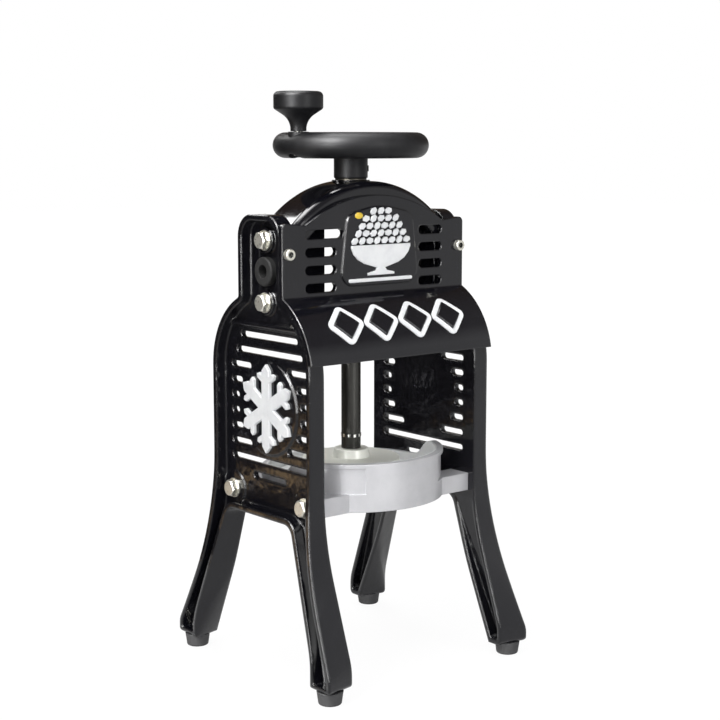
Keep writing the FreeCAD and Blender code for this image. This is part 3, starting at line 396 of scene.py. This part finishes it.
def plaqueIce(look=heapLook):
    bm = bmesh.new()
    for row, count in enumerate(look["rows"]):
        for place in range(count):
            flake = bmesh.ops.create_circle(bm, cap_ends=True, segments=6, radius=1.0)["verts"]
            bmesh.ops.scale(bm, vec=(*look["flake"], 1), verts=flake)
            sway = look["sway"] * math.sin(look["swayAlong"] * place + look["swayUp"] * row)
            turn = Matrix.Rotation(look["turn"] + sway, 3, "Z")
            bmesh.ops.rotate(bm, cent=(0, 0, 0), matrix=turn, verts=flake)
            bmesh.ops.translate(bm, verts=flake, vec=((place - (count - 1) / 2) * look["flakeStep"],
                                                      row * look["rowStep"], 0))
    liftPlate(bm, bm.faces[:], look["height"] + plaqueLook["sink"], look["roundness"])
    toPlaque(bm, 0, look["baseZ"])
    reliefPiece(bm, "plaqueIce", whitePaint)


def plaqueDrop(look=dropLook):
    bm = bmesh.new()
    bmesh.ops.create_uvsphere(bm, u_segments=20, v_segments=12, radius=1.0)
    bmesh.ops.scale(bm, vec=look["size"], verts=bm.verts)
    toPlaque(bm, look["x"], look["z"])
    reliefPiece(bm, "plaqueDrop", yellowPaint, smooth=True)


plaqueBar()
plaqueDish()
plaqueIce()
plaqueDrop()
print("plaque relief: done")

# a row of lozenges on the curved hood, outlined in white; curve is the hood's axis in y and z and its radius
lozengeLook = {"count": 4, "step": 0.0284, "middleX": 0.0015, "halfWide": 0.0152, "halfTall": 0.0150,
               "corner": 0.004, "outline": 0.0034, "outlineHeight": 0.0011, "outlineRoundness": 0.0005,
               "padHeight": 0.0017, "padRoundness": 0.0009, "sink": 0.0002,
               "curve": (-0.0022, 0.19705, 0.0539), "slope": 36}


def ontoHood(bm, look):
    # local x stays, local y runs up round the hood's curve, local z points out of it
    y, z, radius = look["curve"]
    for vert in bm.verts:
        angle = math.radians(look["slope"]) + vert.co.y / radius
        reach = radius + vert.co.z
        vert.co = (vert.co.x, y - reach * math.cos(angle), z + reach * math.sin(angle))


def lozengeFace(bm, middle, look):
    corners = bmesh.ops.create_circle(bm, cap_ends=True, segments=4, radius=1.0)["verts"]
    bmesh.ops.scale(bm, vec=(look["halfWide"], look["halfTall"], 1), verts=corners)
    bmesh.ops.translate(bm, verts=corners, vec=(middle, 0, 0))
    rounded = bmesh.ops.bevel(bm, geom=corners, offset=look["corner"], segments=5, profile=0.5,
                              affect="VERTICES", material=-1)
    edges = {e for v in rounded["verts"] for e in v.link_edges}
    sides = [e for e in edges if e.calc_length() > look["corner"]]
    bmesh.ops.subdivide_edges(bm, edges=sides, cuts=5)           # so that the sides bend with the hood


def lozengeRow(look):
    # flat lozenges, each one a ring round an inner face
    bm = bmesh.new()
    for place in range(look["count"]):
        lozengeFace(bm, look["middleX"] + (place - (look["count"] - 1) / 2) * look["step"], look)
    inner = bm.faces[:]
    inset = bmesh.ops.inset_individual(bm, faces=inner, thickness=look["outline"], use_even_offset=True)
    return bm, inner, inset["faces"]


def lozengeOutlines(look=lozengeLook):
    bm, inner, rings = lozengeRow(look)
    bmesh.ops.delete(bm, geom=inner, context="FACES")
    faces = [f for f in rings if f.is_valid]
    liftPlate(bm, faces, look["outlineHeight"] + look["sink"], look["outlineRoundness"])
    bmesh.ops.translate(bm, verts=bm.verts, vec=(0, 0, -look["sink"]))
    ontoHood(bm, look)
    reliefPiece(bm, "hoodLozengeOutline", whitePaint)


def lozengePads(look=lozengeLook):
    bm, inner, rings = lozengeRow(look)
    bmesh.ops.delete(bm, geom=rings, context="FACES")
    bmesh.ops.poke(bm, faces=inner)
    bmesh.ops.subdivide_edges(bm, edges=bm.edges[:], cuts=2, use_grid_fill=True)
    liftPlate(bm, bm.faces[:], look["padHeight"] + look["sink"], look["padRoundness"])
    bmesh.ops.translate(bm, verts=bm.verts, vec=(0, 0, -look["sink"]))
    ontoHood(bm, look)
    reliefPiece(bm, "hoodLozengePad", enamel)


lozengeOutlines()
lozengePads()
print("hood relief: done")

# camera
cameraView = {"turn": -39.33, "down": 8.10, "place": (-0.6356, -0.7852, 0.3418), "lens": 76.9, "sensor": 36,
              "near": 0.01}


def makeCamera(view=cameraView):
    data = bpy.data.cameras.new("camera")
    data.lens = view["lens"]
    data.sensor_width = view["sensor"]
    data.clip_start = view["near"]
    camera = bpy.data.objects.new("camera", data)
    camera.location = view["place"]
    camera.rotation_euler = (math.radians(90 - view["down"]), 0, math.radians(view["turn"]))
    scene.collection.objects.link(camera)
    scene.camera = camera


# pale floor and world, both white where they are seen directly
studio = {"floorSize": 6.0, "floorColor": (0.52, 0.52, 0.52), "floorRough": 0.9, "floorWhite": 1.05,
          "shadowShare": 0.10, "shadowFade": (0.3, 1.2), "worldLight": 0.32}


def seenDirectly(tree):
    # 1 for what the camera, a mirror or a glass sees, 0 for light that falls on the object
    path = addNode(tree, "ShaderNodeLightPath")
    seen = combine(tree, "MAXIMUM", path.outputs["Is Camera Ray"], path.outputs["Is Glossy Ray"])
    return combine(tree, "MAXIMUM", seen, path.outputs["Is Transmission Ray"])


def makeWorld(values=studio):
    world = bpy.data.worlds.new("paleRoom")
    world.use_nodes = True
    tree = world.node_tree
    background = tree.nodes["Background"]
    background.inputs["Color"].default_value = (*white, 1)
    strength = remap(tree, seenDirectly(tree), values["worldLight"], 1.0, 0, 1)
    tree.links.new(strength, background.inputs["Strength"])
    scene.world = world


def stagePiece(bm, name, material):
    piece = meshPiece(bm, name, material)
    return piece


def makeFloor(values=studio):
    bm = bmesh.new()
    bmesh.ops.create_grid(bm, x_segments=1, y_segments=1, size=values["floorSize"])
    mat, tree, bsdf = newMaterial("paleFloor")
    bsdf.inputs["Base Color"].default_value = (*values["floorColor"], 1)
    bsdf.inputs["Roughness"].default_value = values["floorRough"]
    glow = addNode(tree, "ShaderNodeEmission", {"Color": (*white, 1), "Strength": values["floorWhite"]})
    away = distance(tree, objectCoords(tree))
    glowShare = remap(tree, away, 1 - values["shadowShare"], 1, *values["shadowFade"])    # all glow far out
    mix = addNode(tree, "ShaderNodeMixShader")
    tree.links.new(combine(tree, "MULTIPLY", seenDirectly(tree), glowShare), mix.inputs["Fac"])
    tree.links.new(bsdf.outputs["BSDF"], mix.inputs[1])
    tree.links.new(glow.outputs["Emission"], mix.inputs[2])
    tree.links.new(mix.outputs["Shader"], tree.nodes["Material Output"].inputs["Surface"])
    stagePiece(bm, "floor", mat)


# what only reflections see: the walls of the room, and a dark warm card low down behind on the left
def reflectedOnly(card):
    card.visible_camera = False
    card.visible_diffuse = False
    card.visible_transmission = False
    card.visible_volume_scatter = False
    card.visible_shadow = False


def axisPart(tree, axis):
    parts = addNode(tree, "ShaderNodeSeparateXYZ")
    tree.links.new(objectCoords(tree), parts.inputs[0])
    return parts.outputs[axis]


def glowingMaterial(name):
    # the material, its tree and the color that it glows in
    mat, tree, _ = newMaterial(name)
    glow = addNode(tree, "ShaderNodeEmission")
    tree.links.new(glow.outputs["Emission"], tree.nodes["Material Output"].inputs["Surface"])
    return mat, tree, glow.inputs["Color"]


# the walls: their color changes from front to back, and low down in front they are white
room = {"radius": 2.6, "low": 0.45, "high": 2.4,
        "frontColor": (0.34, 0.32, 0.31), "backColor": (0.092, 0.064, 0.040), "frontToBack": (-1.6, 0.6),
        "whiteHeights": (1.0, 1.7), "whiteDepths": (-1.2, 0.2)}


def makeRoom(values=room):
    bm = bmesh.new()
    bmesh.ops.create_cone(bm, cap_ends=True, segments=64, radius1=values["radius"], radius2=values["radius"],
                          depth=values["high"] - values["low"])
    bmesh.ops.translate(bm, verts=bm.verts, vec=(0, 0, (values["high"] + values["low"]) / 2))
    bottom = [f for f in bm.faces if f.calc_center_median().z < values["low"] + mm]
    bmesh.ops.delete(bm, geom=bottom, context="FACES")
    mat, tree, color = glowingMaterial("roomWalls")
    back = remap(tree, axisPart(tree, "Y"), 0, 1, *values["frontToBack"])
    walls = mixColors(tree, back, values["frontColor"], values["backColor"])
    down = remap(tree, axisPart(tree, "Z"), 1, 0, *values["whiteHeights"])
    forward = remap(tree, axisPart(tree, "Y"), 1, 0, *values["whiteDepths"])
    tree.links.new(mixColors(tree, combine(tree, "MULTIPLY", down, forward), walls, white), color)
    reflectedOnly(stagePiece(bm, "roomWalls", mat))


# the warm card: dark, with warm patches and small white glints, each a noise, its flatness and its edges
warmCard = {"place": (-0.27, 0.34), "wide": 0.9, "tall": 0.55,
            "dark": (0.03, 0.028, 0.025), "warm": (3.5, 2.4, 1.3), "glint": (1.8, 1.8, 1.9),
            "patches": ((30.0, 4, 0.6), 2.5, (0.51, 0.60)), "glints": ((75.0, 3, 0.6), 1.6, (0.61, 0.67)),
            "fade": (-0.262, -0.205)}       # along height plus x, so the patches end lower down on the right


def blotches(tree, grain, flatness, edges):
    return remap(tree, noise(tree, objectCoords(tree, scale=(1, 1, flatness)), *grain), 0, 1, *edges)


def makeWarmCard(values=warmCard):
    x, y = values["place"]
    upright = Matrix.Rotation(math.radians(90), 3, "X")
    towardsObject = Matrix.Rotation(math.atan2(-x, y), 3, "Z")
    bm = bmesh.new()
    bmesh.ops.create_grid(bm, x_segments=1, y_segments=1, size=0.5)
    bmesh.ops.scale(bm, vec=(values["wide"], values["tall"], 1), verts=bm.verts)
    bmesh.ops.rotate(bm, cent=(0, 0, 0), matrix=upright, verts=bm.verts)
    bmesh.ops.rotate(bm, cent=(0, 0, 0), matrix=towardsObject, verts=bm.verts)
    bmesh.ops.translate(bm, verts=bm.verts, vec=(x, y, values["tall"] / 2))
    mat, tree, color = glowingMaterial("warmCard")
    slant = combine(tree, "ADD", axisPart(tree, "X"), axisPart(tree, "Z"))
    fade = remap(tree, slant, 1, 0, *values["fade"])
    patches = combine(tree, "MULTIPLY", blotches(tree, *values["patches"]), fade)
    patched = mixColors(tree, patches, values["dark"], values["warm"])
    tree.links.new(mixColors(tree, blotches(tree, *values["glints"]), patched, values["glint"]), color)
    reflectedOnly(stagePiece(bm, "warmCard", mat))


# soft studio lamps: power in watts, aim is the height that a lamp points at
lamps = {"overhead": {"place": (-0.10, 0.00, 1.70), "size": (1.1, 0.9), "power": 17, "aim": 0.2},
         "leftKey": {"place": (-0.85, -0.20, 1.15), "size": (0.45, 0.45), "power": 5.5, "aim": 0.2},
         "frontBox": {"place": (0.15, -1.35, 0.62), "size": (0.5, 0.35), "power": 2.6, "aim": 0.2}}
# fills: soft light into the ice space from both ends, without highlights of their own
fills = {"rearFill": {"place": (0.30, 1.10, 0.85), "size": (0.6, 0.6), "power": 4.5, "aim": 0.13},
         "nearFill": {"place": (-0.55, -1.00, 0.44), "size": (0.5, 0.4), "power": 4.4, "aim": 0.13}}
# sheens: soft panels that only show as highlights on gloss and metal
sheens = {"leftSheen": {"place": (-1.15, -0.40, 0.75), "size": (0.42, 1.45), "power": 62, "aim": 0.60},
          "frontSheen": {"place": (0.02, -1.30, 0.56), "size": (0.22, 1.05), "power": 8.0, "aim": 0.56},
          "shoulderSheen": {"place": (-0.85, -0.22, 1.18), "size": (0.7, 0.5), "power": 80, "aim": 0.25},
          "topSheen": {"place": (-0.10, 0.25, 1.60), "size": (0.9, 0.8), "power": 34, "aim": 0.2},
          "backSheen": {"place": (-0.16, 0.95, 0.98), "size": (0.24, 0.50), "power": 6.0, "aim": 0.22}}


def makeLamps(values, diffuse=True, glossy=True):
    for name, lamp in values.items():
        data = bpy.data.lights.new(name, "AREA")
        data.shape = "RECTANGLE"
        data.size, data.size_y = lamp["size"]
        data.energy = lamp["power"]
        light = bpy.data.objects.new(name, data)
        light.location = lamp["place"]
        toAim = Vector((0, 0, lamp["aim"])) - Vector(lamp["place"])
        light.rotation_euler = toAim.to_track_quat("-Z", "Y").to_euler()
        light.visible_camera = False
        light.visible_diffuse = diffuse
        light.visible_glossy = glossy
        scene.collection.objects.link(light)


makeCamera()
makeWorld()
makeFloor()
makeRoom()
makeWarmCard()
makeLamps(lamps)
makeLamps(fills, glossy=False)
makeLamps(sheens, diffuse=False)
scene.view_settings.view_transform = "Standard"
print("studio: done")
